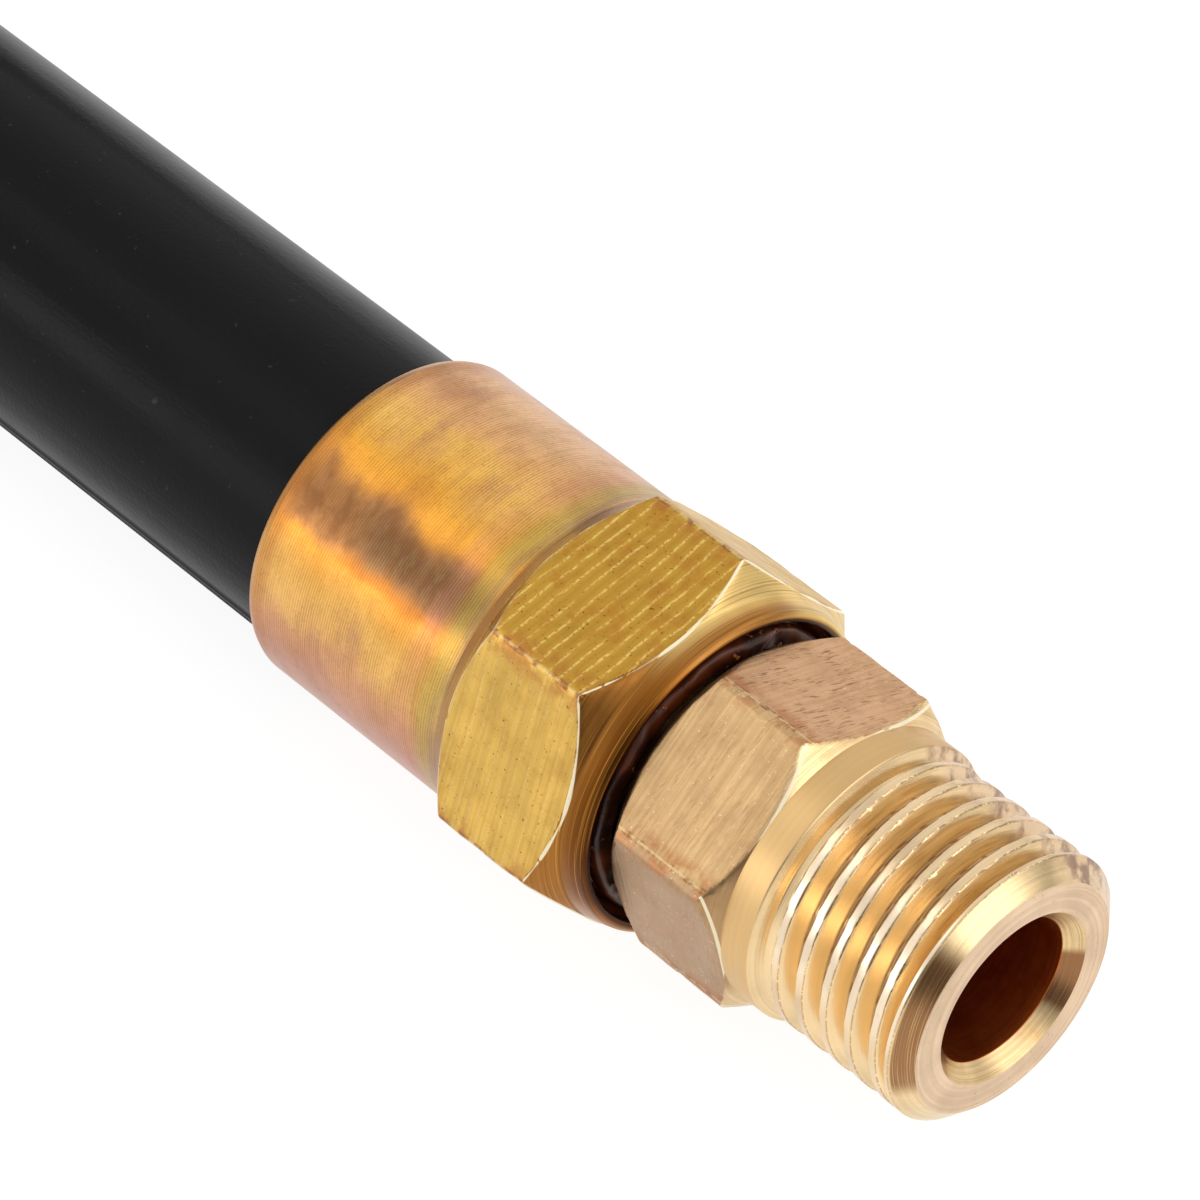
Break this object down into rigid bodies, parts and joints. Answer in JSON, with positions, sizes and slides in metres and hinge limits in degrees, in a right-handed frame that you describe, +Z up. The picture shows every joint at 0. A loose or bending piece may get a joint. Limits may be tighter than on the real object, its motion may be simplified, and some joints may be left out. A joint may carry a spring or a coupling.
{
  "type": "gas-cooled tig torch with hose",
  "caption": "Gas-cooled TIG welding torch with screw valve, ceramic nozzle and long back cap, on a coiled hose that ends in a crimped brass socket with a male connector.",
  "frame": {"origin": "on the table, under the middle of the torch's own footprint, the hose and its fitting left out", "axes": "+Z up from the table the torch lies on; -Y is the way the nozzle points; the handle leaves the head towards -X and the connector's mouth faces +X"},
  "size_m": [0.5664, 0.2979, 0.035],
  "materials": {
    "phenolic": "moulded phenolic, satin black",
    "handle_plastic": "moulded nylon, fine matt grain, black",
    "knob_plastic": "moulded, satin black",
    "hose_rubber": "extruded, satin black",
    "seal_rubber": "moulded, matt black",
    "webbing": "woven hook-and-loop strap, black",
    "ptfe": "turned, waxy white",
    "alumina": "fired alumina, semi-matt pink",
    "tungsten": "ground",
    "copper": "turned copper",
    "brass": "turned yellow brass with heat-coloured film",
    "brass_pale": "turned brass, tarnished tan",
    "steel": "turned",
    "sealant": "set amber sealant"
  },
  "bodies": {
    "torch": {"torch_head": "phenolic", "head_core": "brass", "neck_tube": "copper", "collet_body": "copper", "collet": "copper", "valve_body": "phenolic", "handle": "handle_plastic", "torch_nipple": "brass", "torch_ferrule": "brass", "torch_hose_end": "hose_rubber", "torch_conductor": "copper", "hose_lead": "hose_rubber", "hose_coil": "hose_rubber", "hose_tail": "hose_rubber", "coil_tie_near": "webbing", "coil_tie_far": "webbing", "hose_socket": "brass", "fitting_hose_end": "hose_rubber", "male_connector": "brass_pale", "seal_washer": "steel", "sealant_bead": "sealant", "fitting_conductor": "copper"},
    "cap_travel": {"back_cap_o_ring": "seal_rubber"},
    "cap": {"back_cap": "phenolic"},
    "nozzle_travel": {"cup_gasket": "ptfe"},
    "nozzle": {"ceramic_nozzle": "alumina"},
    "valve_travel": {"valve_o_ring": "seal_rubber"},
    "valve": {"valve_knob": "knob_plastic", "valve_stem": "brass"},
    "electrode": {"tungsten_electrode": "tungsten"}
  },
  "joints": [
    {"name": "cap_travel", "type": "slide", "parent": "torch", "child": "cap_travel", "axis": [0, 1, 0], "range_m": [0, 0.0091]},
    {"name": "cap_turn", "type": "hinge", "parent": "cap_travel", "child": "cap", "pos_m": [0.09293, 0.0425, 0.0125], "axis": [0, 1, 0], "range_deg": [0, 2160]},
    {"name": "nozzle_travel", "type": "slide", "parent": "torch", "child": "nozzle_travel", "axis": [0, -1, 0], "range_m": [0, 0.0091]},
    {"name": "nozzle_turn", "type": "hinge", "parent": "nozzle_travel", "child": "nozzle", "pos_m": [0.09293, -0.0825, 0.0125], "axis": [0, -1, 0], "range_deg": [0, 2160]},
    {"name": "valve_travel", "type": "slide", "parent": "torch", "child": "valve_travel", "axis": [0.342, 0.9397, 0], "range_m": [0, 0.0038]},
    {"name": "valve_turn", "type": "hinge", "parent": "valve_travel", "child": "valve", "pos_m": [0.03936, -0.01801, 0.0125], "axis": [0.342, 0.9397, 0], "range_deg": [0, 1080]},
    {"name": "electrode_slide", "type": "slide", "parent": "torch", "child": "electrode", "axis": [0, -1, 0], "range_m": [-0.03, 0.03]}
  ],
  "couplings": [
    {"joint": "cap_travel", "follows": "cap_turn", "m_per_rad": 0.00023873},
    {"joint": "nozzle_travel", "follows": "nozzle_turn", "m_per_rad": 0.00023873},
    {"joint": "valve_travel", "follows": "valve_turn", "m_per_rad": 0.00019894}
  ]
}
